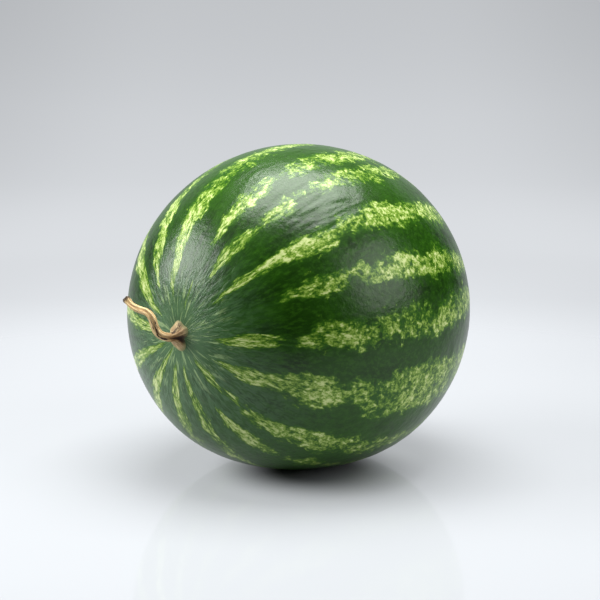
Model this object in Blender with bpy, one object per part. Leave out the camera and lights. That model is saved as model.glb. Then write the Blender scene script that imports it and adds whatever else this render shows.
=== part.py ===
"""A whole round striped watermelon lying on its side, with its dried stem.

Frame: metres, +Z up. The origin is the middle of the flat spot the fruit rests on.
The fruit's long axis is level and runs along Y, with the stem at the -Y end.
"""

from math import cos, exp, hypot, log1p, pi, sin

import bmesh
import bpy
from mathutils import Vector
from mathutils.geometry import interpolate_bezier

MM = 0.001

# Fruit: a spheroid about its stem-to-blossom axis
GIRTH_RADIUS = 125.0 * MM
HALF_LENGTH = 135.0 * MM
AROUND = 64  # facets round the girth
ALONG = 46  # facets from the stem end to the blossom end

# Underside: the fruit grew flatter where it lay, and rests on a small flat spot
UNDERSIDE_LIMIT = 131.5 * MM  # depth below the axis that the underside bends away from
UNDERSIDE_SOFTNESS = 15.4 * MM  # how gradually it bends
REST_DROP = 116.2 * MM  # from the axis down to the flat spot

# Ends: the hollow round the stem, its flat seat, and the hollow of the blossom scar
STEM_HOLLOW_DEPTH = 1.2 * MM
STEM_HOLLOW_RADIUS = 24.0 * MM
BLOSSOM_HOLLOW_DEPTH = 2.2 * MM
BLOSSOM_HOLLOW_RADIUS = 9.0 * MM
SEAT_CUT = 0.55 * MM  # taken off the stem end, where the stem's foot sits
GAP = 0.3 * MM  # between the foot and the seat

# Stem: a dried, ribbed stalk that flares into a foot
STEM_RIBS = 5
RIB_DEPTH = 0.12  # of the stalk's radius
STEM_TWIST = 2.4  # radians from the foot to the tip
STEM_SIDES = 30
STEPS_PER_SPAN = 5
STALK_RADIUS = 3.3 * MM
TIP_RADIUS = 1.9 * MM
FOOT_RADIUS = 10.2 * MM
FOOT_LENGTH = 3.25 * MM  # over which the foot narrows into the stalk
KNOB_RADIUS = 0.5 * MM  # how much the broken tip swells
KNOB_LENGTH = 4.0 * MM
# Points the stalk passes through from the middle of its foot: sideways, out, up
STALK_ROUTE = [
    (0.0, 0.0, 0.0),
    (-0.5, 6.0, 0.2),
    (-1.4, 12.0, 0.9),
    (-3.2, 16.0, 2.9),
    (-5.0, 18.2, 6.5),
    (-5.4, 19.6, 10.6),
    (-6.0, 21.0, 15.0),
    (-9.0, 22.0, 18.4),
    (-15.2, 23.0, 20.0),
    (-22.0, 23.6, 22.1),
    (-27.6, 24.0, 26.4),
]

RIND_GREEN = (0.03, 0.13, 0.02)
RIND_ROUGHNESS = 0.35
STEM_TAN = (0.42, 0.29, 0.14)
STEM_ROUGHNESS = 0.75
CREASE_ANGLE = 0.6  # edges sharper than this, in radians, are not smoothed


def material(name, colour, roughness):
    """A Principled BSDF of one colour."""
    made = bpy.data.materials.new(name)
    made.use_nodes = True
    shader = made.node_tree.nodes["Principled BSDF"]
    shader.inputs["Base Color"].default_value = (*colour, 1.0)
    shader.inputs["Roughness"].default_value = roughness
    made.diffuse_color = (*colour, 1.0)
    return made


def add_object(name, data):
    """Links a new object with this data to the scene."""
    made = bpy.data.objects.new(name, data)
    bpy.context.scene.collection.objects.link(made)
    return made


def settled_height(z):
    """Height above the axis once the underside has flattened."""
    below = -(z + UNDERSIDE_LIMIT) / UNDERSIDE_SOFTNESS
    return z + UNDERSIDE_SOFTNESS * log1p(exp(below))


def end_hollow(along, radius):
    """How far the stem hollow or the blossom hollow sinks the surface at a radius."""
    if along < 0.0:
        return STEM_HOLLOW_DEPTH * exp(-((radius / STEM_HOLLOW_RADIUS) ** 2))
    return BLOSSOM_HOLLOW_DEPTH * exp(-((radius / BLOSSOM_HOLLOW_RADIUS) ** 2))


def fruit_point(x, y, z):
    """The fruit's surface for a point of the unit sphere, with Y as the fruit's axis."""
    sunk = end_hollow(y, GIRTH_RADIUS * hypot(x, z))
    reach = HALF_LENGTH - sunk * abs(y)
    return Vector((GIRTH_RADIUS * x, reach * y, settled_height(GIRTH_RADIUS * z)))


def cut_flat(mesh, point, outward):
    """Slices off what lies beyond a plane and closes the cut with one face."""
    everything = mesh.verts[:] + mesh.edges[:] + mesh.faces[:]
    cut = bmesh.ops.bisect_plane(
        mesh, geom=everything, plane_co=point, plane_no=outward, clear_outer=True
    )
    rim = [piece for piece in cut["geom_cut"] if isinstance(piece, bmesh.types.BMEdge)]
    bmesh.ops.contextual_create(mesh, geom=rim)


def seat_middle():
    """The middle of the flat seat at the stem end, in the finished frame."""
    return Vector((0.0, STEM_HOLLOW_DEPTH + SEAT_CUT - HALF_LENGTH, REST_DROP))


def make_fruit():
    """The whole fruit as one solid, standing on its flat spot."""
    mesh = bmesh.new()
    bmesh.ops.create_uvsphere(mesh, u_segments=AROUND, v_segments=ALONG, radius=1.0)
    for vert in mesh.verts:
        x, y, z = vert.co
        vert.co = fruit_point(x, z, -y)
    bmesh.ops.translate(mesh, verts=mesh.verts, vec=Vector((0.0, 0.0, REST_DROP)))
    cut_flat(mesh, seat_middle(), Vector((0.0, -1.0, 0.0)))
    cut_flat(mesh, Vector(), Vector((0.0, 0.0, -1.0)))
    bmesh.ops.recalc_face_normals(mesh, faces=mesh.faces)
    data = bpy.data.meshes.new("fruit")
    mesh.to_mesh(data)
    mesh.free()
    data.shade_smooth()
    data.set_sharp_from_angle(angle=CREASE_ANGLE)
    data.materials.append(material("rind", RIND_GREEN, RIND_ROUGHNESS))
    return add_object("fruit", data)


def route_points():
    """A smooth course through the route's points, with the first stretch square to the seat.

    A Bezier handle that runs smoothly through a stop is a sixth of the way between its neighbours.
    """
    foot = seat_middle() - Vector((0.0, GAP, 0.0))
    stops = [foot + Vector((side, -out, up)) * MM for side, out, up in STALK_ROUTE]
    square = foot - Vector((0.0, (stops[1] - foot).length, 0.0))
    ahead = stops[1:] + [stops[-1]]
    behind = [2.0 * foot - square] + stops[:-1]
    leans = [(after - before) / 6.0 for before, after in zip(behind, ahead)]
    leans[0] = (square - foot) / 3.0
    course = [foot]
    for here in range(len(stops) - 1):
        start, end = stops[here], stops[here + 1]
        span = interpolate_bezier(
            start, start + leans[here], end - leans[here + 1], end, STEPS_PER_SPAN + 1
        )
        course += span[1:]
    return course


def stalk_radius(along, length):
    """The stalk's radius at a distance along it, with its foot and its swollen tip."""
    taper = STALK_RADIUS + (TIP_RADIUS - STALK_RADIUS) * along / length
    flare = (FOOT_RADIUS - STALK_RADIUS) * exp(-((along / FOOT_LENGTH) ** 2))
    knob = KNOB_RADIUS * exp(-(((length - along) / KNOB_LENGTH) ** 2))
    return taper + flare + knob


def ribbed_outline():
    """A closed outline of unit radius with the stalk's ribs, which only shapes the stem."""
    outline = bpy.data.curves.new("stem_outline", "CURVE")
    outline.dimensions = "2D"
    outline.fill_mode = "NONE"
    line = outline.splines.new("POLY")
    line.points.add(STEM_SIDES - 1)
    for side, point in enumerate(line.points):
        turn = -2.0 * pi * side / STEM_SIDES
        reach = 1.0 + RIB_DEPTH * (cos(STEM_RIBS * turn) - 1.0)
        point.co = (reach * cos(turn), reach * sin(turn), 0.0, 1.0)
    line.use_cyclic_u = True
    guide = add_object("stem_outline", outline)
    guide.hide_render = True
    guide.display_type = "WIRE"
    return guide


def make_stem():
    """The stalk and its foot as one solid, swept along the route with a slow twist."""
    course = route_points()
    length = sum((end - start).length for start, end in zip(course, course[1:]))
    stem = bpy.data.curves.new("stem", "CURVE")
    stem.dimensions = "3D"
    stem.twist_mode = "MINIMUM"
    stem.bevel_mode = "OBJECT"
    stem.bevel_object = ribbed_outline()
    stem.use_fill_caps = True
    line = stem.splines.new("POLY")
    line.points.add(len(course) - 1)
    along = 0.0
    before = course[0]
    for point, place in zip(line.points, course):
        along += (place - before).length
        before = place
        point.co = (*place, 1.0)
        point.radius = stalk_radius(along, length)
        point.tilt = STEM_TWIST * along / length
    line.use_smooth = True
    stem.materials.append(material("stem", STEM_TAN, STEM_ROUGHNESS))
    return add_object("stem", stem)


def main():
    """Clears the scene and models the fruit and its stem."""
    for old in list(bpy.data.objects):
        bpy.data.objects.remove(old)
    make_fruit()
    make_stem()


main()
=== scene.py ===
# A whole round striped watermelon lying on its side, with its dried stem.
# Metres, +Z up. The fruit's long axis runs along Y, with the stem at the -Y end.
import math
import random

import bpy
import numpy as np
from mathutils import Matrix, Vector


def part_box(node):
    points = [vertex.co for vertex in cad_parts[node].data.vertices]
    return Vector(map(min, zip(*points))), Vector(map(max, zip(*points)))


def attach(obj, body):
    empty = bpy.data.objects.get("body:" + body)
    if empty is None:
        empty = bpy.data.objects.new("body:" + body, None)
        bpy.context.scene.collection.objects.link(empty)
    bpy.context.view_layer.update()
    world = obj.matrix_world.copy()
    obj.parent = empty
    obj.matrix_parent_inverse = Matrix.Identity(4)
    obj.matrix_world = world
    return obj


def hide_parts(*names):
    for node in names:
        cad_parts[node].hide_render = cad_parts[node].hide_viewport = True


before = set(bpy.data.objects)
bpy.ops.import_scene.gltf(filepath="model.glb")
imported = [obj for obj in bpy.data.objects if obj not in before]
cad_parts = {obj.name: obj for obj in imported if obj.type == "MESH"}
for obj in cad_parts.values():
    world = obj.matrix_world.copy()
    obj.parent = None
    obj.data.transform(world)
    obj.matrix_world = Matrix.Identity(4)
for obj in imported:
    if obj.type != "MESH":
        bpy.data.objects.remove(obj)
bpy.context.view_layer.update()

mm = 0.001
fruitLow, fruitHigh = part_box("fruit")
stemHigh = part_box("stem")[1]
girthRadius = (fruitHigh.x - fruitLow.x) / 2
axisHeight = fruitHigh.z - girthRadius
fruitMiddle = Vector((0.0, 0.0, axisHeight))
print("frame: girth radius %.1f mm, axis %.1f mm up" % (girthRadius / mm, axisHeight / mm))


def feed(tree, socket, value):
    # a value is another node's output, or a plain number, vector or colour
    if isinstance(value, bpy.types.NodeSocket):
        tree.links.new(value, socket)
    elif value is not None:
        socket.default_value = value


def addNode(tree, kind, values=(), **settings):
    # values fill the inputs by name, or by number where names repeat
    node = tree.nodes.new(kind)
    for name, value in settings.items():
        setattr(node, name, value)
    for name, value in dict(values).items():
        feed(tree, node.inputs[name], value)
    return node


def calc(tree, operation, *values):
    node = addNode(tree, "ShaderNodeMath", enumerate(values), operation=operation)
    return node.outputs[0]


def vectorCalc(tree, operation, *values):
    node = addNode(tree, "ShaderNodeVectorMath", enumerate(values), operation=operation)
    scalar = operation in ("LENGTH", "DOT_PRODUCT", "DISTANCE")
    return node.outputs["Value" if scalar else "Vector"]


def scaled(tree, vector, factor):
    node = addNode(tree, "ShaderNodeVectorMath", {0: vector, "Scale": factor}, operation="SCALE")
    return node.outputs["Vector"]


def ramp(tree, value, low, high, lowResult=0.0, highResult=1.0):
    # a smooth step from lowResult to highResult as value goes from low to high
    node = addNode(tree, "ShaderNodeMapRange", {0: value, 1: low, 2: high, 3: lowResult, 4: highResult},
                   interpolation_type="SMOOTHSTEP")
    return node.outputs[0]


def noise(tree, place, size, detail=2.0, roughness=0.5, distortion=0.0):
    # size is the length of one bump, in the units of place
    perUnit = calc(tree, "DIVIDE", 1.0, size) if isinstance(size, bpy.types.NodeSocket) else 1.0 / size
    node = addNode(tree, "ShaderNodeTexNoise", {"Vector": place, "Scale": perUnit, "Detail": detail,
                   "Roughness": roughness, "Distortion": distortion})
    return node.outputs[0]


def centred(tree, value):
    return calc(tree, "SUBTRACT", value, 0.5)


def blendColour(tree, factor, first, second):
    node = addNode(tree, "ShaderNodeMix", data_type="RGBA")
    feed(tree, node.inputs[0], factor)
    feed(tree, node.inputs[6], first)
    feed(tree, node.inputs[7], second)
    return node.outputs[2]


def blendNumber(tree, factor, first, second):
    node = addNode(tree, "ShaderNodeMix", {0: factor, 2: first, 3: second})
    return node.outputs[0]


def stopRamp(tree, value, colours, smoothness="LINEAR"):
    # a colour for each value, from a list of (value, colour)
    node = addNode(tree, "ShaderNodeValToRGB", {0: value})
    node.color_ramp.interpolation = smoothness
    stops = node.color_ramp.elements
    while len(stops) < len(colours):
        stops.new(0.5)
    for stop, (position, colour) in zip(stops, colours):
        stop.position = position
        stop.color = colour
    return node.outputs[0]


def newMaterial(name):
    # a Principled material; returns it with its tree and its shader node
    material = bpy.data.materials.new(name)
    material.use_nodes = True
    tree = material.node_tree
    return material, tree, tree.nodes["Principled BSDF"]


def capture(tree, geometry, value, kind):
    # notes the value on the geometry as it is here; returns both
    node = addNode(tree, "GeometryNodeCaptureAttribute", {"Geometry": geometry})
    node.capture_items.new(kind, "kept")
    feed(tree, node.inputs[1], value)
    return node.outputs[0], node.outputs[1]


def store(tree, geometry, name, value, kind="FLOAT"):
    # stores the value on the geometry under a name that materials can read
    node = addNode(tree, "GeometryNodeStoreNamedAttribute", {"Geometry": geometry, "Name": name,
                   "Value": value}, data_type=kind)
    return node.outputs[0]


def newGeometryTree(name, sizes):
    # a geometry tree with one named input for each size; returns it with its input node
    tree = bpy.data.node_groups.new(name, "GeometryNodeTree")
    tree.interface.new_socket("Geometry", in_out="INPUT", socket_type="NodeSocketGeometry")
    for sizeName, value in sizes.items():
        kind = {int: "NodeSocketInt", float: "NodeSocketFloat"}.get(type(value), "NodeSocketMaterial")
        tree.interface.new_socket(sizeName, in_out="INPUT", socket_type=kind)
    tree.interface.new_socket("Geometry", in_out="OUTPUT", socket_type="NodeSocketGeometry")
    return tree, tree.nodes.new("NodeGroupInput")


def finishTree(tree, geometry, material):
    smooth = addNode(tree, "GeometryNodeSetShadeSmooth", {"Geometry": geometry})
    real = addNode(tree, "GeometryNodeRealizeInstances", {"Geometry": smooth.outputs[0]})
    painted = addNode(tree, "GeometryNodeSetMaterial", {"Geometry": real.outputs[0], "Material": material})
    out = tree.nodes.new("NodeGroupOutput")
    tree.links.new(painted.outputs[0], out.inputs[0])


def runTree(piece, tree, sizes):
    # runs the tree on the piece with these sizes, and keeps the result as a plain mesh
    modifier = piece.modifiers.new(tree.name, "NODES")
    modifier.node_group = tree
    for socket in tree.interface.items_tree:
        if socket.in_out == "INPUT" and socket.name in sizes:
            modifier[socket.identifier] = sizes[socket.name]
    depsgraph = bpy.context.evaluated_depsgraph_get()
    made = bpy.data.meshes.new_from_object(
        piece.evaluated_get(depsgraph), preserve_all_data_layers=True, depsgraph=depsgraph)
    name = piece.name
    bpy.data.objects.remove(piece)
    made.name = name
    result = bpy.data.objects.new(name, made)
    bpy.context.scene.collection.objects.link(result)
    return result


def readVectors(mesh, name):
    data = np.zeros(len(mesh.vertices) * 3, np.float32)
    mesh.attributes[name].data.foreach_get("vector", data)
    return data.reshape(-1, 3).astype(float)


def writeFloats(mesh, name, values):
    attribute = mesh.attributes.new(name, "FLOAT", "POINT")
    attribute.data.foreach_set("value", values.astype(np.float32))


cameraSet = {
    "azimuth": 38.5,  # degrees round from looking along +Y
    "elevation": 10.0,
    "distance": 1.15,  # to the middle of the fruit
    "lens": 91.1,
    "sensorWidth": 36.0,
    "aimAbove": 7.5 * mm,  # of the middle of the fruit
}


def awayFrom(azimuth, elevation):
    # the direction from the fruit to something at this azimuth and elevation
    turn, rise = math.radians(azimuth), math.radians(elevation)
    return Vector((math.sin(turn) * math.cos(rise), -math.cos(turn) * math.cos(rise), math.sin(rise)))


def lookAt(thing, target):
    thing.rotation_euler = (target - thing.location).to_track_quat("-Z", "Y").to_euler()


def makeCamera():
    camera = bpy.data.objects.new("camera", bpy.data.cameras.new("camera"))
    bpy.context.scene.collection.objects.link(camera)
    back = awayFrom(cameraSet["azimuth"], cameraSet["elevation"])
    camera.location = fruitMiddle + back * cameraSet["distance"]
    lookAt(camera, fruitMiddle + Vector((0.0, 0.0, cameraSet["aimAbove"])))
    camera.data.lens = cameraSet["lens"]
    camera.data.sensor_width = cameraSet["sensorWidth"]
    bpy.context.scene.camera = camera


makeCamera()
print("camera: placed")


# The fruit. "along" is an angle from the stem end, and "turn" is an angle round the girth from the
# top towards +X. Colours are linear.
fruitSet = {
    "sizes": {
        "facesAcross": 124,
        "girthRadius": girthRadius,
        "restDrop": axisHeight,
        "restSoftness": 0.25 * mm,
        "stemHollowDepth": 1.2 * mm,
        "stemHollowRadius": 24.0 * mm,
        "blossomHollowDepth": 2.2 * mm,
        "blossomHollowRadius": 9.0 * mm,
        "undersideLimit": 131.5 * mm,
        "undersideSoftness": 15.4 * mm,
        "lumpHeight": 1.0 * mm,
        "lumpSize": 0.9,  # of the girth radius, as are the next three sizes
        "swellHeight": 0.55 * mm,
        "swellSize": 0.11,
        "pleatHeight": 1.1 * mm,  # the pleats run out from the stem
        "pleatSize": 0.07,
        "pleatFull": 0.15,  # along, in radians, up to where the pleats have their full height
        "pleatEnd": 0.62,  # and where they end
        "wrinkleDepth": 0.42 * mm,
        "wrinkleSize": 0.085,
        "wrinkleWidth": 0.09,  # how far from the noise's middle value a wrinkle reaches
        "wrinkleLength": 0.16,  # a wrinkle's width over its length
        "wrinkleFull": 0.1,  # how far from their middle the wrinkles are at their deepest
        "wrinkleReach": 0.36,  # and where they end
    },
    "seatCut": 0.55 * mm,  # what the stem's seat takes off the fruit's length
    "wrinkleMiddle": (0.49, -0.49, 0.72),  # its direction from the fruit's middle
    # Each stripe is a list of stretches, and a stretch is a list of (along, turn, half its width),
    # all in degrees.
    "stripes": [
        [[(10, 11, 1.5), (17, 11, 2)], [(33, 12.5, 1.5), (40, 13.5, 4.5), (50, 14, 5), (61, 14.5, 2)],
         [(63, 16, 2), (68, 17, 4.5), (78, 18, 5), (88, 20, 5), (100, 18, 4.5), (112, 16, 4)]],
        [[(24, 26, 1.5), (30, 27.5, 4), (38, 27.5, 3.5), (44, 28.5, 1)], [(47, 29, 3), (56, 29, 3)],
         [(62, 28.5, 2.5), (70, 29, 4), (80, 30, 4.5), (88, 32, 4.5), (96, 30.5, 4), (106, 29, 3.5)]],
        [[(13, 47.5, 1), (20, 47.5, 1.8), (30, 47.5, 2.8), (38, 48, 3.3), (45, 48, 3), (52, 49, 4.5),
          (60, 49.5, 4.5), (64, 49.5, 2)],
         [(66, 48, 4), (74, 48.5, 5), (92, 49.5, 5), (96, 49, 4), (104, 50, 5), (118, 49, 4.5)]],
        [[(39, 66, 1), (44, 66.5, 4), (50, 67, 5), (56, 66.5, 4.5), (60, 65.5, 3)],
         [(61, 65.5, 3), (66, 68, 4.5), (76, 68, 4.5), (84, 67.5, 5), (91, 70, 3)],
         [(92, 67, 3), (96, 67.5, 6), (106, 69, 4.5), (118, 69, 4.5)]],
        [[(17, 88, 2.5), (21, 89, 4.5), (26, 89, 5), (31, 89, 4), (35, 88, 2)],
         [(43, 88, 3), (47, 87, 6.5), (54, 87, 5), (60, 87.5, 6), (66, 87, 3)],
         [(68, 87, 4.5), (80, 87, 5.5), (90, 87.5, 5), (100, 86, 5), (110, 84, 5), (120, 84, 4.5)]],
        [[(14, 114.5, 1), (19, 115, 3), (26, 114.5, 6), (34, 114, 3)],
         [(36, 112.5, 5.5), (44, 112, 8.5), (52, 112.5, 8.5), (57, 112, 4)],
         [(60, 110, 4.5), (66, 113, 7), (74, 111, 8.5), (84, 109, 9.5), (94, 109, 9.5), (120, 108, 8)]],
        [[(13, 139, 4), (18, 139, 5), (21, 138.5, 2)], [(24, 137, 2), (31, 137, 2)],
         [(34, 140, 3), (42, 138, 4.5), (52, 136.5, 6.5), (72, 135, 5.5), (82, 135, 5), (100, 131, 4)]],
        [[(28, 155, 2), (34, 155, 5), (44, 154.5, 5), (51, 153, 2)],
         [(57, 153, 2), (64, 152, 4), (74, 151, 2)]],
        [[(13, 173, 3.5), (22, 174, 4.5), (36, 174, 4.5), (50, 173, 4), (62, 172, 2)]],
        [[(13, 194, 3.5), (22, 194, 5), (34, 194, 5), (48, 193, 4)]],
        [[(8, 216, 2.5), (16, 217.5, 5.5), (26, 218, 5.5), (42, 219, 4.5)]],
        [[(11, 245, 4.5), (20, 245, 6), (30, 245, 5.5), (44, 245, 5)]],
        [[(14, 273, 4), (22, 274, 5), (32, 275, 4.5), (44, 276, 4.5)]],
        [[(13, 305, 4.5), (24, 305, 6.5), (36, 305, 6.5), (48, 307, 5.5), (60, 309, 4.5)]],
        [[(20, 324, 3), (30, 326, 5), (42, 329, 5), (52, 331, 4.5), (62, 337, 3.5)]],
        [[(16, 345, 3), (24, 346, 4.5), (34, 348, 6), (44, 350, 6), (51, 351, 3)],
         [(52, 352, 5), (62, 354, 6), (74, 357, 5.5), (88, 361, 4)]],
    ],
    "wider": 0.8,  # mm added all round each stripe
    "outside": -18.0,  # the stripe field's lowest value, in mm
    # The far side carries each stripe on to the blossom end, with seeded luck.
    "farSeed": 11,
    "farEnd": 168.0,  # along
    "farStep": (7.0, 12.0),  # degrees from one point of a stretch to the next
    "farPoints": (3, 7),  # in one stretch
    "farGap": (1.0, 5.0),
    "farTaper": 4.0,
    "farTipWidth": 2.0,
    "farWander": 1.6,
    "farHalfWidth": (3.5, 7.0),
    # The rind's finish. Sizes are in mm, and every "push" is how strongly noise moves an edge, in mm.
    "rind": {
        "stretch": 0.55,  # how much the patterns are drawn out along the fruit towards its ends
        "roughness": 0.29,
        "specular": 0.27,
        "peelSize": 2.0,
        "peelHeight": 0.15,  # of the bump's height
        "poreSize": 7.0,
        "poreHeight": 0.8,
        "bumpHeight": 0.5 * mm,
        # stripes
        "lobeSize": 15.0,
        "lobePush": 20.0,
        "edgeSize": 5.5,
        "edgePush": 18.0,
        "grainSize": 2.8,
        "grainPush": 12.0,
        "edgeBlend": (-0.5, 2.5),  # mm into the stripe over which its colour takes over
        "deepAt": (-1.5, 11.0),  # mm into the stripe over which it grows pale
        "deepTone": (0.0, 0.8, 0.35, 1.15),  # shares of that depth, and the tone's strength at them
        "fleckSize": 2.5,
        "fleckReach": 2.2,
        "fleckShift": (31.0, 17.0, 5.0),
        "clumpReach": 1.7,
        "richSize": 26.0,
        "richAt": (0.35, 0.65),  # of the noise
        "richTone": (0.16, 0.43),
        "paintedLightAt": (-70.0, 60.0),  # mm above the axis
        "paintedLightTone": (0.05, 0.12),  # painted light: how much paler the stripes are at those heights, the higher ones lighter
        "endAt": (65.0, 25.0),  # along
        "endTone": 0.16,  # how much paler they are near the stem
        # the stripes' tone, from the ground's edge to the palest flecks
        "tones": [
            (0.00, (0.014, 0.070, 0.002, 1.0)),
            (0.22, (0.034, 0.108, 0.005, 1.0)),
            (0.45, (0.110, 0.218, 0.018, 1.0)),
            (0.68, (0.245, 0.368, 0.062, 1.0)),
            (1.00, (0.520, 0.600, 0.250, 1.0)),
        ],
        # ground
        "groundDark": (0.0035, 0.017, 0.0008, 1.0),
        "ground": (0.011, 0.050, 0.0015, 1.0),
        "groundLight": (0.028, 0.100, 0.005, 1.0),
        "underside": (0.019, 0.078, 0.003, 1.0),
        "undersideAt": (-15.0, -95.0),  # mm above the axis
        "undersideMottle": (0.35, 0.6, 0.5, 1.0),  # of the noise, and the colour's share there
        # painted sheen: the ground lighter and greener on top, where the top lamp falls
        "paintedTopSheen": (0.022, 0.076, 0.006, 1.0),
        "paintedTopSheenAt": (55.0, 115.0),
        "paintedTopSheenMottle": (0.35, 0.6, 0.6, 1.0),
        "broadSize": 34.0,
        "broadAt": (0.35, 0.65),
        "mottleSize": 3.6,
        "mottleAt": (0.44, 0.66),
        "mottleShare": 0.55,
        "haloAt": (-9.0, 0.0),  # mm from a stripe
        "haloShare": 0.7,
        # the pale end round the stem
        "stemEnd": (0.085, 0.175, 0.078, 1.0),
        "paleFull": 5.0,  # along
        "paleReach": (37.0, 62.0),  # along, at the two heights below
        "paleReachAt": (5.0, -60.0),  # mm above the axis
        "paleRing": (17.0, 7.0, 0.0, 0.75),  # along, and how pale
        "streakShort": 1.35,
        "streakSize": 5.5,
        "streakAt": (0.40, 0.62, 0.3, 0.9),  # of the noise, and how pale
        "streakHeight": (40.0, 14.0, 0.0, 0.8),
        "dash": (0.33, 0.46, 0.20, 1.0),
        "dashSize": 11.0,
        "dashAt": (0.53, 0.65),
        "dashReach": (24.0, 11.0, 0.0, 0.65),
        "dashShift": (3.0, 40.0, 8.0),
        # the yellow patch where the fruit lay, in mm from the fruit's middle
        "layColour": (0.58, 0.50, 0.17, 1.0),
        "layAt": (-36.0, 28.0, -112.0),
        "layRadius": 44.0,
        "layEdge": 9.0,
        "layLobeSize": 14.0,
        "layLobePush": 26.0,
        # the blossom end, by distance from the axis
        "blossomRing": (12.0, 5.0, 0.0, 0.8),
        "scar": (0.16, 0.095, 0.040, 1.0),
        "scarEdge": (4.9, 4.1),
        "scarSize": 3.0,
        "scarPush": 2.5,
    },
}


def softFloor(tree, value, floor, softness):
    # value, but bending smoothly so that it never goes below floor
    below = calc(tree, "DIVIDE", calc(tree, "SUBTRACT", floor, value), softness)
    grown = calc(tree, "ADD", calc(tree, "EXPONENT", below), 1.0)
    rise = calc(tree, "MULTIPLY", calc(tree, "LOGARITHM", grown, math.e), softness)
    return calc(tree, "ADD", value, rise)


def fruitTree(sizes):
    # a cube's even grid blown up to a ball, then shaped by the same rule as the CAD fruit
    tree, given = newGeometryTree("fruitBody", dict(sizes, rind=None))
    size = given.outputs
    across = calc(tree, "ADD", size["facesAcross"], 1.0)
    cube = addNode(tree, "GeometryNodeMeshCube", {"Size": (2.0, 2.0, 2.0), "Vertices X": across,
                   "Vertices Y": across, "Vertices Z": across})
    corner = tree.nodes.new("GeometryNodeInputPosition").outputs[0]
    even = vectorCalc(tree, "TANGENT", scaled(tree, corner, math.pi / 4))
    outward = vectorCalc(tree, "NORMALIZE", even)
    kept = store(tree, cube.outputs["Mesh"], "outward", outward, "FLOAT_VECTOR")
    direction = addNode(tree, "GeometryNodeInputNamedAttribute", {"Name": "outward"},
                        data_type="FLOAT_VECTOR").outputs[0]
    lumps = centred(tree, noise(tree, direction, size["lumpSize"], detail=1.0))
    grow = calc(tree, "MULTIPLY_ADD", lumps, size["lumpHeight"], size["girthRadius"])
    swell = centred(tree, noise(tree, direction, size["swellSize"], detail=2.0))
    grow = calc(tree, "MULTIPLY_ADD", swell, size["swellHeight"], grow)
    part = addNode(tree, "ShaderNodeSeparateXYZ", {0: direction}).outputs
    flat = vectorCalc(tree, "MULTIPLY", direction, (1.0, 0.0, 1.0))
    around = vectorCalc(tree, "LENGTH", flat)
    radius = calc(tree, "MULTIPLY", around, size["girthRadius"])

    # pleats and wrinkles are noise round the fruit, drawn out along it
    angle = calc(tree, "ARCTAN2", around, calc(tree, "MULTIPLY", part["Y"], -1.0))
    along = addNode(tree, "ShaderNodeCombineXYZ",
                    {"Y": calc(tree, "MULTIPLY", angle, size["wrinkleLength"])}).outputs[0]
    drawn = vectorCalc(tree, "ADD", vectorCalc(tree, "NORMALIZE", flat), along)
    pleat = centred(tree, noise(tree, drawn, size["pleatSize"], detail=1.0))
    pleat = calc(tree, "MULTIPLY", pleat, ramp(tree, angle, size["pleatEnd"], size["pleatFull"]))
    grow = calc(tree, "MULTIPLY_ADD", pleat, size["pleatHeight"], grow)
    wrinkle = calc(tree, "ABSOLUTE", centred(tree, noise(tree, drawn, size["wrinkleSize"], detail=1.0)))
    wrinkle = ramp(tree, wrinkle, size["wrinkleWidth"], 0.0)
    apart = vectorCalc(tree, "DISTANCE", direction, fruitSet["wrinkleMiddle"])
    wrinkle = calc(tree, "MULTIPLY", wrinkle, ramp(tree, apart, size["wrinkleReach"], size["wrinkleFull"]))
    grow = calc(tree, "SUBTRACT", grow, calc(tree, "MULTIPLY", wrinkle, size["wrinkleDepth"]))

    def hollow(depth, reach):
        share = calc(tree, "POWER", calc(tree, "DIVIDE", radius, reach), 2.0)
        return calc(tree, "DIVIDE", depth, calc(tree, "EXPONENT", share))

    blossomSide = calc(tree, "GREATER_THAN", part["Y"], 0.0)
    sunk = blendNumber(tree, blossomSide, hollow(size["stemHollowDepth"], size["stemHollowRadius"]),
                       hollow(size["blossomHollowDepth"], size["blossomHollowRadius"]))
    shorter = calc(tree, "MULTIPLY", sunk, calc(tree, "ABSOLUTE", part["Y"]))
    reach = calc(tree, "SUBTRACT", size["halfLength"], shorter)
    settled = softFloor(tree, calc(tree, "MULTIPLY", part["Z"], grow),
                        calc(tree, "MULTIPLY", size["undersideLimit"], -1.0), size["undersideSoftness"])
    standing = calc(tree, "ADD", settled, size["restDrop"])
    place = addNode(tree, "ShaderNodeCombineXYZ", {"X": calc(tree, "MULTIPLY", part["X"], grow),
                    "Y": calc(tree, "MULTIPLY", part["Y"], reach),
                    "Z": softFloor(tree, standing, 0.0, size["restSoftness"])}).outputs[0]
    shaped = addNode(tree, "GeometryNodeSetPosition", {"Geometry": kept, "Position": place})
    finishTree(tree, shaped.outputs[0], size["rind"])
    return tree


def farStretches(along, turn, luck):
    # the stretches that carry a stripe on to the blossom end
    stretches = []
    tip = fruitSet["farTipWidth"]
    while along < fruitSet["farEnd"]:
        along += luck.uniform(*fruitSet["farGap"])
        course = [(along, turn, tip)]
        for point in range(luck.randint(*fruitSet["farPoints"])):
            along += luck.uniform(*fruitSet["farStep"])
            turn += luck.uniform(-fruitSet["farWander"], fruitSet["farWander"])
            course.append((along, turn, luck.uniform(*fruitSet["farHalfWidth"])))
        stretches.append(course + [(along + fruitSet["farTaper"], turn, tip)])
    return stretches


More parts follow.
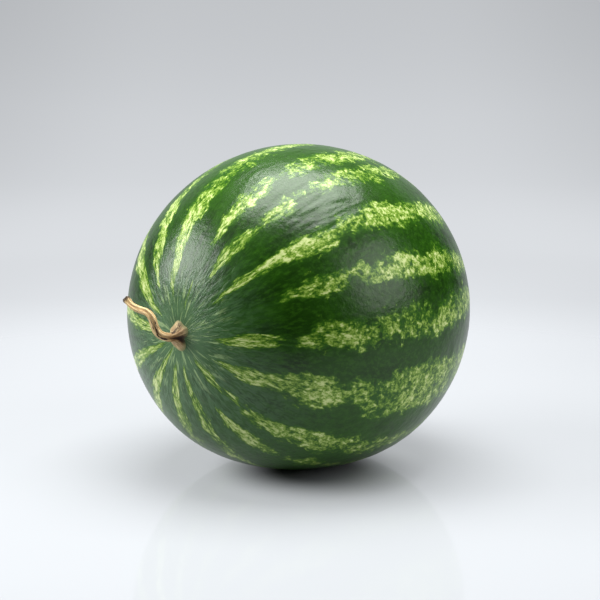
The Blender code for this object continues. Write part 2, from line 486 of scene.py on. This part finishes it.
def stripeField(outward):
    # how far inside a stripe each point lies, in mm at the girth; outside the stripes it is negative
    along = np.degrees(np.arccos(np.clip(-outward[:, 1], -1.0, 1.0)))
    turn = np.degrees(np.arctan2(outward[:, 0], outward[:, 2]))
    field = np.full(len(outward), fruitSet["outside"])
    luck = random.Random(fruitSet["farSeed"])
    perDegree = girthRadius / mm * math.radians(1.0)
    for stripe in fruitSet["stripes"]:
        lastAlong, lastTurn = stripe[-1][-1][:2]
        for course in stripe + farStretches(lastAlong, lastTurn, luck):
            stops, turns, widths = (np.array(column, float) for column in zip(*course))
            aside = np.abs((turn - np.interp(along, stops, turns) + 180.0) % 360.0 - 180.0)
            beyond = np.maximum(np.maximum(stops[0] - along, along - stops[-1]), 0.0)
            inside = np.interp(along, stops, widths) - np.hypot(aside, beyond)
            field = np.maximum(field, inside * perDegree)
    return field + fruitSet["wider"]


def makeRind(look):
    material, tree, shader = newMaterial("watermelonRind")
    here = addNode(tree, "ShaderNodeTexCoord").outputs["Object"]
    place = scaled(tree, vectorCalc(tree, "SUBTRACT", here, tuple(fruitMiddle)), 1.0 / mm)
    # grown: a place on a tube as wide as the girth, so that a pattern narrows towards both ends
    part = addNode(tree, "ShaderNodeSeparateXYZ", {0: place}).outputs
    flat = vectorCalc(tree, "MULTIPLY", place, (1.0, 0.0, 1.0))
    radius = vectorCalc(tree, "LENGTH", flat)
    angle = calc(tree, "ARCTAN2", radius, calc(tree, "MULTIPLY", part["Y"], -1.0))  # from the stem end
    stretch = look["stretch"]
    bend = calc(tree, "MULTIPLY", calc(tree, "SINE", calc(tree, "MULTIPLY", angle, 2.0)), -stretch / 4)
    drawn = calc(tree, "MULTIPLY_ADD", angle, 1.0 - stretch / 2, bend)
    along = addNode(tree, "ShaderNodeCombineXYZ",
                    {"Y": calc(tree, "MULTIPLY", drawn, girthRadius / mm)}).outputs[0]
    around = scaled(tree, vectorCalc(tree, "NORMALIZE", flat), girthRadius / mm)
    grown = vectorCalc(tree, "ADD", around, along)
    degrees = calc(tree, "DEGREES", angle)

    # stripes: the stored field, broken up into lobes, jagged edges and grain
    stripe = addNode(tree, "ShaderNodeAttribute", attribute_name="stripe").outputs["Fac"]
    lobe = centred(tree, noise(tree, grown, look["lobeSize"], 2.0))
    edge = centred(tree, noise(tree, grown, look["edgeSize"], 3.0, 0.6, 0.6))
    grain = centred(tree, noise(tree, grown, look["grainSize"], 4.0, 0.75, 0.2))
    body = calc(tree, "MULTIPLY_ADD", lobe, look["lobePush"], stripe)
    body = calc(tree, "MULTIPLY_ADD", edge, look["edgePush"], body)
    field = calc(tree, "MULTIPLY_ADD", grain, look["grainPush"], body)
    rich = noise(tree, grown, look["richSize"], 2.0)
    rich = ramp(tree, rich, *look["richAt"], *look["richTone"])
    depth = ramp(tree, field, *look["deepAt"])
    fleckPlace = vectorCalc(tree, "ADD", grown, look["fleckShift"])
    fleck = centred(tree, noise(tree, fleckPlace, look["fleckSize"], 4.0, 0.75, 0.2))
    tone = calc(tree, "MULTIPLY_ADD", fleck, look["fleckReach"], rich)
    tone = calc(tree, "MULTIPLY_ADD", edge, look["clumpReach"], tone)
    # painted light: the stripes grow paler the higher they lie
    tone = calc(tree, "ADD", tone, ramp(tree, part["Z"], *look["paintedLightAt"], *look["paintedLightTone"]))
    tone = calc(tree, "ADD", tone, ramp(tree, degrees, *look["endAt"], 0.0, look["endTone"]))
    tone = calc(tree, "MULTIPLY", calc(tree, "MAXIMUM", tone, 0.0), ramp(tree, depth, *look["deepTone"]))
    inside = ramp(tree, field, *look["edgeBlend"])

    # ground: dark and mottled, lighter beside the stripes and underneath, with painted sheen making it
    # lighter on top
    broad = noise(tree, grown, look["broadSize"], 2.0)
    mottle = noise(tree, grown, look["mottleSize"], 4.0, 0.7)
    ground = blendColour(tree, ramp(tree, broad, *look["broadAt"]), look["groundDark"], look["ground"])
    halo = calc(tree, "MULTIPLY", ramp(tree, body, *look["haloAt"]), look["haloShare"])
    ground = blendColour(tree, halo, ground, look["ground"])
    light = calc(tree, "MULTIPLY", ramp(tree, mottle, *look["mottleAt"]), look["mottleShare"])
    ground = blendColour(tree, light, ground, look["groundLight"])
    under = calc(tree, "MULTIPLY", ramp(tree, part["Z"], *look["undersideAt"]),
                 ramp(tree, mottle, *look["undersideMottle"]))
    ground = blendColour(tree, under, ground, look["underside"])
    # painted sheen on the top of the fruit
    paintedTopSheenShare = calc(tree, "MULTIPLY", ramp(tree, part["Z"], *look["paintedTopSheenAt"]),
                ramp(tree, mottle, *look["paintedTopSheenMottle"]))
    ground = blendColour(tree, paintedTopSheenShare, ground, look["paintedTopSheen"])

    # the pale, streaked end round the stem
    streaked = vectorCalc(tree, "MULTIPLY", grown, (1.0, look["streakShort"], 1.0))
    fineStreak = noise(tree, streaked, look["streakSize"], 3.0, 0.6, 0.8)
    paleReach = ramp(tree, part["Z"], *look["paleReachAt"], *look["paleReach"])
    paleEnd = calc(tree, "MULTIPLY", ramp(tree, degrees, paleReach, look["paleFull"]),
                   ramp(tree, fineStreak, *look["streakAt"]))
    paleEnd = calc(tree, "MAXIMUM", paleEnd, ramp(tree, degrees, *look["paleRing"]))
    ground = blendColour(tree, paleEnd, ground, look["stemEnd"])
    dashPlace = vectorCalc(tree, "ADD", streaked, look["dashShift"])
    dash = noise(tree, dashPlace, look["dashSize"], 3.0, 0.7, 0.3)
    dash = calc(tree, "MULTIPLY", ramp(tree, dash, *look["dashAt"]), ramp(tree, degrees, *look["dashReach"]))
    ground = blendColour(tree, dash, ground, look["dash"])
    colour = blendColour(tree, inside, ground, stopRamp(tree, tone, look["tones"]))

    # the yellow patch where the fruit lay, and the scar of the blossom
    lay = vectorCalc(tree, "DISTANCE", place, look["layAt"])
    layLobe = centred(tree, noise(tree, place, look["layLobeSize"], 4.0, 0.65))
    lay = calc(tree, "MULTIPLY_ADD", layLobe, look["layLobePush"], lay)
    patch = ramp(tree, lay, look["layRadius"], look["layRadius"] - look["layEdge"])
    colour = blendColour(tree, patch, colour, look["layColour"])
    uneven = centred(tree, noise(tree, place, look["scarSize"], 2.0))
    atBlossom = calc(tree, "MULTIPLY_ADD", uneven, look["scarPush"], radius)
    nearBlossom = ramp(tree, part["Y"], 0.0, 1.0)
    ring = calc(tree, "MULTIPLY", nearBlossom, ramp(tree, atBlossom, *look["blossomRing"]))
    colour = blendColour(tree, ring, colour, look["stemEnd"])
    scar = calc(tree, "MULTIPLY", nearBlossom, ramp(tree, atBlossom, *look["scarEdge"]))
    colour = blendColour(tree, scar, colour, look["scar"])

    shader.inputs["Roughness"].default_value = look["roughness"]
    shader.inputs["Specular IOR Level"].default_value = look["specular"]
    feed(tree, shader.inputs["Base Color"], colour)
    peel = noise(tree, place, look["peelSize"], 3.0, 0.6)
    pore = noise(tree, place, look["poreSize"], 3.0, 0.6)
    pleat = calc(tree, "MULTIPLY", fineStreak, ramp(tree, degrees, *look["streakHeight"]))
    height = calc(tree, "MULTIPLY_ADD", peel, look["peelHeight"], pleat)
    height = calc(tree, "MULTIPLY_ADD", pore, look["poreHeight"], height)
    bump = addNode(tree, "ShaderNodeBump", {"Strength": 1.0, "Distance": look["bumpHeight"],
                   "Height": height})
    feed(tree, shader.inputs["Normal"], bump.outputs[0])
    return material


def makeFruit():
    piece = bpy.data.objects.new("watermelon", bpy.data.meshes.new("watermelon"))
    bpy.context.scene.collection.objects.link(piece)
    # the CAD seat at the stem end gives the length
    halfLength = fruitSet["sizes"]["stemHollowDepth"] + fruitSet["seatCut"] - fruitLow.y
    sizes = dict(fruitSet["sizes"], halfLength=halfLength)
    piece = runTree(piece, fruitTree(sizes), dict(sizes, rind=makeRind(fruitSet["rind"])))
    outward = readVectors(piece.data, "outward")
    writeFloats(piece.data, "stripe", stripeField(outward))
    piece.data.attributes.remove(piece.data.attributes["outward"])
    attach(piece, "root")
    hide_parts("fruit")


makeFruit()
print("fruit: made")


# The stem. Places are sideways, out and up from the middle of its foot, in mm. Colours are linear.
stemSet = {
    "route": [(0.0, -1.5, 0.0), (0.0, 0.0, 0.0), (-0.5, 6.0, 0.2), (-1.4, 12.0, 0.9), (-3.2, 16.0, 2.9),
              (-5.0, 18.2, 6.5), (-5.4, 19.6, 10.6), (-6.0, 21.0, 15.0), (-9.0, 22.0, 18.4),
              (-15.2, 23.0, 20.0), (-22.0, 23.6, 22.1), (-27.6, 24.0, 26.4)],
    # each ridge: degrees round from the top towards +X, its spread in degrees, its height in mm
    # at the foot, and how far along the stalk it reaches in mm
    "ridges": [(-8.0, 34.0, 2.6, 6.0), (48.0, 15.0, 1.5, 9.0), (105.0, 27.0, -3.4, 8.5),
               (172.0, 30.0, 2.2, 6.5), (-120.0, 24.0, 1.6, 8.0), (-65.0, 22.0, 1.2, 8.0)],
    "sizes": {
        "rings": 240,
        "sides": 96,
        "stalkRadius": 3.2 * mm,
        "tipRadius": 1.9 * mm,
        "footRadius": 9.6 * mm,
        "footLength": 4.0 * mm,
        "knobRadius": 0.7 * mm,
        "knobLength": 3.0 * mm,
        "ribHeight": 0.32 * mm,
        "ribs": 5.0,
        "twist": 2.4,  # turns of the ribs along the stalk, in radians
        "fibreHeight": 0.35 * mm,
        "fibreSize": 1.3 * mm,
        "fibreStretch": 0.22,  # a fibre's width over its length
        "turned": -math.pi / 2,  # from the profile's start to the top
    },
    # The bark's finish, in mm. Every "At" is a stretch from the foot, but "tipCutAt" is from the tip.
    # Every "Height" is above the round stalk, and every "Patch" or "Streak" is of that noise. Where
    # a row has four numbers, the last two are the colour's share at its two ends.
    "bark": {
        "roughness": 0.72,
        "streakSize": 1.1,
        "streakPush": 2.6,  # how much the streaks add to the height that sets the colour
        "patchSize": 2.6,
        "patchShift": (5.0, 9.0, 2.0),
        "fineSize": 0.5,
        "fineBump": 0.3 * mm,
        "tan": (0.54, 0.35, 0.14, 1.0),
        "pale": (0.76, 0.58, 0.30, 1.0),
        # pale on ridge tops and streaks: partly the bark's own colour, partly painted highlight
        "paleHighlightHeight": (-0.15, 0.55),
        # browner near the foot: partly the bark's own colour, partly painted shade in the crook under the
        # stalk
        "footBrown": (0.22, 0.15, 0.07, 1.0),
        "footAt": (12.0, 5.0),
        "footStreak": (0.38, 0.56, 0.95, 0.35),
        "brown": (0.18, 0.085, 0.026, 1.0),
        # painted shade: brown where the surface lies low, in the furrows
        "brownShadeHeight": (-0.1, -0.75),
        "ruddyAt": (24.0, 8.0),
        "ruddyFootAt": (2.0, 8.0, 0.35, 1.0),
        "ruddyPatch": (0.60, 0.44),
        # dark slits in the bark, and painted shade, nearly black, in the deepest furrow
        "slitAndFurrowShade": (0.030, 0.010, 0.003, 1.0),
        "furrowShadeHeight": (-0.5, -1.4),
        "slitPatch": (0.54, 0.64),
        "slitStreak": (0.58, 0.44),
        "collar": (0.22, 0.23, 0.09, 1.0),
        "collarAt": (3.4, 1.8),
        "collarHeight": (-2.5, -0.5, 0.2, 0.8),
        "cut": (0.085, 0.055, 0.028, 1.0),
        "tipCutAt": (3.0, 0.9),
    },
}


def bell(tree, value, reach):
    # falls from 1 at no distance towards nothing past the reach
    share = calc(tree, "POWER", calc(tree, "ABSOLUTE", calc(tree, "DIVIDE", value, reach)), 2.0)
    return calc(tree, "EXPONENT", calc(tree, "MULTIPLY", share, -1.0))


def stemTree(sizes):
    # a round tube along the stalk, then ridges, ribs and fibres pushed out of it
    tree, given = newGeometryTree("driedStem", dict(sizes, bark=None))
    size = given.outputs
    line = addNode(tree, "GeometryNodeResampleCurve", {"Curve": size["Geometry"], "Count": size["rings"]})
    spline = tree.nodes.new("GeometryNodeSplineParameter").outputs
    length = tree.nodes.new("GeometryNodeSplineLength").outputs["Length"]
    radius = blendNumber(tree, spline["Factor"], size["stalkRadius"], size["tipRadius"])
    flare = calc(tree, "SUBTRACT", size["footRadius"], size["stalkRadius"])
    radius = calc(tree, "MULTIPLY_ADD", flare, bell(tree, spline["Length"], size["footLength"]), radius)
    toTip = calc(tree, "SUBTRACT", length, spline["Length"])
    radius = calc(tree, "MULTIPLY_ADD", size["knobRadius"], bell(tree, toTip, size["knobLength"]), radius)
    here = tree.nodes.new("GeometryNodeInputPosition").outputs[0]
    kept, along = capture(tree, line.outputs[0], spline["Length"], "FLOAT")
    kept, width = capture(tree, kept, radius, "FLOAT")
    kept, left = capture(tree, kept, toTip, "FLOAT")
    kept, middle = capture(tree, kept, here, "VECTOR")
    ring = addNode(tree, "GeometryNodeCurvePrimitiveCircle", {"Resolution": size["sides"], "Radius": 1.0})
    ringKept, share = capture(tree, ring.outputs[0], spline["Factor"], "FLOAT")
    tube = addNode(tree, "GeometryNodeCurveToMesh", {"Curve": kept, "Profile Curve": ringKept,
                   "Scale": width, "Fill Caps": True}).outputs[0]

    turn = calc(tree, "MULTIPLY_ADD", share, -2.0 * math.pi, size["turned"])
    raised = 0.0
    for degrees, spread, height, reach in stemSet["ridges"]:
        apart = calc(tree, "SUBTRACT", turn, math.radians(degrees))
        # just short of 1, so that the arccosine stays smooth on the ridge's own line
        apart = calc(tree, "ARCCOSINE", calc(tree, "MULTIPLY", calc(tree, "COSINE", apart), 0.9999))
        across = bell(tree, apart, math.radians(spread))
        ridge = calc(tree, "MULTIPLY", across, bell(tree, along, reach * mm))
        raised = calc(tree, "MULTIPLY_ADD", ridge, height * mm, raised)
    twisted = calc(tree, "MULTIPLY_ADD", calc(tree, "DIVIDE", along, length), size["twist"], turn)
    rib = calc(tree, "COSINE", calc(tree, "MULTIPLY", twisted, size["ribs"]))
    raised = calc(tree, "MULTIPLY_ADD", rib, size["ribHeight"], raised)
    # fibres run along the stalk, so their noise is stretched that way
    fibreRound = addNode(tree, "ShaderNodeCombineXYZ", {"X": calc(tree, "COSINE", twisted),
                         "Y": calc(tree, "SINE", twisted)}).outputs[0]
    fibreAlong = addNode(tree, "ShaderNodeCombineXYZ",
                         {"Z": calc(tree, "MULTIPLY", along, size["fibreStretch"])}).outputs[0]
    fibre = vectorCalc(tree, "ADD", scaled(tree, fibreRound, size["stalkRadius"]), fibreAlong)
    grain = centred(tree, noise(tree, fibre, size["fibreSize"], 3.0, 0.6))
    raised = calc(tree, "MULTIPLY_ADD", grain, size["fibreHeight"], raised)
    out = vectorCalc(tree, "NORMALIZE", vectorCalc(tree, "SUBTRACT", here, middle))
    pushed = addNode(tree, "GeometryNodeSetPosition", {"Geometry": tube, "Offset": scaled(tree, out, raised)})
    shaped = store(tree, pushed.outputs[0], "raised", calc(tree, "DIVIDE", raised, mm))
    shaped = store(tree, shaped, "along", calc(tree, "DIVIDE", along, mm))
    shaped = store(tree, shaped, "toTip", calc(tree, "DIVIDE", left, mm))
    shaped = store(tree, shaped, "fibre", scaled(tree, fibre, 1.0 / mm), "FLOAT_VECTOR")
    finishTree(tree, shaped, size["bark"])
    return tree


def makeBark(look):
    material, tree, shader = newMaterial("driedStem")
    raised = addNode(tree, "ShaderNodeAttribute", attribute_name="raised").outputs["Fac"]
    along = addNode(tree, "ShaderNodeAttribute", attribute_name="along").outputs["Fac"]
    toTip = addNode(tree, "ShaderNodeAttribute", attribute_name="toTip").outputs["Fac"]
    fibre = addNode(tree, "ShaderNodeAttribute", attribute_name="fibre").outputs["Vector"]
    streak = noise(tree, fibre, look["streakSize"], 4.0, 0.65)
    patch = noise(tree, vectorCalc(tree, "ADD", fibre, look["patchShift"]), look["patchSize"], 2.0)
    level = calc(tree, "MULTIPLY_ADD", centred(tree, streak), look["streakPush"], raised)
    # paler where the surface stands high: partly the bark's own colour, partly painted highlight
    colour = blendColour(tree, ramp(tree, level, *look["paleHighlightHeight"]), look["tan"], look["pale"])
    # browner towards the foot in streaks and patches: partly the bark's own colour, partly painted shade in
    # the crook under the stalk
    dull = calc(tree, "MULTIPLY", ramp(tree, along, *look["footAt"]),
                ramp(tree, streak, *look["footStreak"]))
    colour = blendColour(tree, dull, colour, look["footBrown"])
    ruddy = calc(tree, "MULTIPLY", ramp(tree, along, *look["ruddyAt"]),
                 ramp(tree, patch, *look["ruddyPatch"]))
    ruddy = calc(tree, "MULTIPLY", ruddy, ramp(tree, along, *look["ruddyFootAt"]))
    colour = blendColour(tree, ruddy, colour, look["brown"])
    # painted shade: browner where the surface lies low, in the furrows and between streaks
    colour = blendColour(tree, ramp(tree, level, *look["brownShadeHeight"]), colour, look["brown"])
    slit = calc(tree, "MULTIPLY", ramp(tree, patch, *look["slitPatch"]),
                ramp(tree, streak, *look["slitStreak"]))
    colour = blendColour(tree, slit, colour, look["slitAndFurrowShade"])
    # painted shade: nearly black in the deepest furrow
    colour = blendColour(tree, ramp(tree, level, *look["furrowShadeHeight"]), colour, look["slitAndFurrowShade"])
    collar = calc(tree, "MULTIPLY", ramp(tree, along, *look["collarAt"]),
                  ramp(tree, raised, *look["collarHeight"]))
    colour = blendColour(tree, collar, colour, look["collar"])
    colour = blendColour(tree, ramp(tree, toTip, *look["tipCutAt"]), colour, look["cut"])
    feed(tree, shader.inputs["Base Color"], colour)
    shader.inputs["Roughness"].default_value = look["roughness"]
    fine = noise(tree, fibre, look["fineSize"], 2.0, 0.6)
    bump = addNode(tree, "ShaderNodeBump", {"Strength": 0.5, "Distance": look["fineBump"], "Height": fine})
    feed(tree, shader.inputs["Normal"], bump.outputs[0])
    return material


def makeStem():
    route = bpy.data.curves.new("stalk", "CURVE")
    route.dimensions = "3D"
    spline = route.splines.new("BEZIER")
    spline.bezier_points.add(len(stemSet["route"]) - 1)
    foot = Vector((0.0, stemHigh.y, axisHeight))
    for point, (side, out, up) in zip(spline.bezier_points, stemSet["route"]):
        point.co = foot + Vector((side, -out, up)) * mm
        point.handle_left_type = point.handle_right_type = "AUTO"
    piece = bpy.data.objects.new("driedStem", route)
    bpy.context.scene.collection.objects.link(piece)
    sizes = stemSet["sizes"]
    piece = runTree(piece, stemTree(sizes), dict(sizes, bark=makeBark(stemSet["bark"])))
    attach(piece, "root")
    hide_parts("stem")


makeStem()
print("stem: made")


studioSet = {
    "floorColour": (0.245, 0.255, 0.265, 1.0),
    "floorRoughness": 0.05,
    "floorSpecular": 0.10,
    "glow": (0.93, 0.96, 1.0, 1.0),  # the lit sweep's own light
    # metres behind the fruit, and the strength of the glow there
    "glowStops": [(-0.62, 0.02), (-0.50, 0.12), (-0.38, 0.37), (-0.2, 0.36), (0.0, 0.32), (0.25, 0.33),
                  (0.45, 0.40), (0.74, 0.60), (0.95, 0.72), (1.2, 0.77), (1.95, 0.72), (2.8, 0.67),
                  (3.3, 0.56)],
    "frontFrom": 0.34,  # metres in front of the fruit where the lit floor ends
    "frontTo": 0.55,
    "glowAside": (0.35, 1.0, 1.0, 0.84),  # metres to each side where the glow fades, and how far
    "shadeRight": 0.012,  # metres from the resting spot to the middle of the shadow in the glow
    "shadeFront": 0.030,
    "shadeFrom": 0.026,  # metres from there where the glow starts, and where it is full
    "shadeFull": 0.088,
    "fadeFrom": 0.3,  # metres from the fruit where the lamps stop lighting the floor
    "fadeTo": 1.2,
    "floorRadius": 2.2,
    "coveRadius": 1.6,
    "coveHeight": 2.4,
    "coveSteps": 48,
    "turnSides": 72,
    "darkSide": 140.0,  # degrees each way from the camera where the wall sends no light back
    "world": (0.85, 0.92, 1.0, 1.0),
    "worldStrength": 0.07,
    # azimuth, elevation, distance, width, height, power
    "lights": {
        "top": (200.0, 84.0, 1.25, 1.05, 0.9, 36.0),
        "left": (-48.0, 28.0, 1.3, 0.85, 0.65, 20.0),
        "right": (103.0, 25.0, 1.5, 1.0, 1.0, 13.0),
    },
}


def makeStageMaterial():
    material, tree, shader = newMaterial("paleStage")
    here = addNode(tree, "ShaderNodeTexCoord").outputs["Object"]
    fade = ramp(tree, vectorCalc(tree, "LENGTH", here), studioSet["fadeFrom"], studioSet["fadeTo"])
    behind = vectorCalc(tree, "DOT_PRODUCT", here, tuple(-awayFrom(cameraSet["azimuth"], 0.0)))
    dark = calc(tree, "MAXIMUM", fade, ramp(tree, behind, -studioSet["frontFrom"], -studioSet["frontTo"]))
    feed(tree, shader.inputs["Base Color"], blendColour(tree, dark, studioSet["floorColour"], (0, 0, 0, 1)))
    feed(tree, shader.inputs["Roughness"], blendNumber(tree, fade, studioSet["floorRoughness"], 1.0))
    shader.inputs["Specular IOR Level"].default_value = studioSet["floorSpecular"]
    shader.inputs["Emission Color"].default_value = studioSet["glow"]
    aside = vectorCalc(tree, "DOT_PRODUCT", here, tuple(awayFrom(cameraSet["azimuth"] + 90.0, 0.0)))
    reach = studioSet["coveRadius"] + studioSet["floorRadius"]
    share = calc(tree, "MULTIPLY_ADD", behind, 0.5 / reach, 0.5)
    stops = [(0.5 + 0.5 * far / reach, (glow, glow, glow, 1.0)) for far, glow in studioSet["glowStops"]]
    glow = stopRamp(tree, share, stops, "B_SPLINE")
    glow = calc(tree, "MULTIPLY", glow, ramp(tree, calc(tree, "ABSOLUTE", aside), *studioSet["glowAside"]))
    shaded = awayFrom(cameraSet["azimuth"] + 90.0, 0.0) * studioSet["shadeRight"]
    shaded += awayFrom(cameraSet["azimuth"], 0.0) * studioSet["shadeFront"]
    apart = vectorCalc(tree, "DISTANCE", here, tuple(shaded))
    unshaded = ramp(tree, apart, studioSet["shadeFrom"], studioSet["shadeFull"])
    feed(tree, shader.inputs["Emission Strength"], calc(tree, "MULTIPLY", glow, unshaded))
    return material


def addTurned(name, profile, startTurn, endTurn, material):
    # a part of the stage: a profile of (radius, height) turned from one angle to another
    sides = studioSet["turnSides"]
    points = []
    faces = []
    for side in range(sides + 1):
        turn = startTurn + (endTurn - startTurn) * side / sides
        points += [(radius * math.cos(turn), radius * math.sin(turn), height) for radius, height in profile]
    for side in range(sides):
        for ring in range(len(profile) - 1):
            low = side * len(profile) + ring
            high = low + len(profile)
            faces.append((low, low + 1, high + 1, high))
    mesh = bpy.data.meshes.new(name)
    mesh.from_pydata(points, [], faces)
    mesh.shade_smooth()
    mesh.materials.append(material)
    made = bpy.data.objects.new(name, mesh)
    bpy.context.scene.collection.objects.link(made)
    return made


def makeStage():
    # a round floor that curves up into a wall; the wall on the camera's side is only a backdrop
    material = makeStageMaterial()
    floorRadius, coveRadius = studioSet["floorRadius"], studioSet["coveRadius"]
    floor = [(floorRadius * share, 0.0) for share in (0.0, 0.2, 0.4, 0.6, 0.8)]
    wall = [(floorRadius, 0.0)]
    steps = studioSet["coveSteps"]
    for step in range(1, steps + 1):
        turn = math.pi / 2 * step / steps
        wall.append((floorRadius + coveRadius * math.sin(turn), coveRadius * (1.0 - math.cos(turn))))
    wall.append((floorRadius + coveRadius, studioSet["coveHeight"]))
    facing = math.radians(cameraSet["azimuth"] - 90.0)
    dark = math.radians(studioSet["darkSide"])
    addTurned("floorBefore", floor + wall[:1], facing - dark, facing + dark, material)
    addTurned("sweepBehind", floor + wall, facing + dark, facing + 2.0 * math.pi - dark, material)
    wallBefore = addTurned("wallBefore", wall, facing - dark, facing + dark, material)
    wallBefore.visible_diffuse = False
    wallBefore.visible_glossy = False


def makeLights():
    for name, (azimuth, elevation, distance, width, height, power) in studioSet["lights"].items():
        data = bpy.data.lights.new(name, "AREA")
        data.shape = "RECTANGLE"
        data.size, data.size_y, data.energy = width, height, power
        light = bpy.data.objects.new(name, data)
        bpy.context.scene.collection.objects.link(light)
        light.location = fruitMiddle + awayFrom(azimuth, elevation) * distance
        light.visible_camera = False
        lookAt(light, fruitMiddle)
    world = bpy.data.worlds.new("studio")
    bpy.context.scene.world = world  # first, because the settings below look for the scene's world
    world.use_nodes = True
    world.node_tree.nodes["Background"].inputs[0].default_value = studioSet["world"]
    world.node_tree.nodes["Background"].inputs[1].default_value = studioSet["worldStrength"]
    world.cycles_visibility.glossy = False
    bpy.context.scene.view_settings.view_transform = "Standard"


makeStage()
makeLights()
print("studio: made")
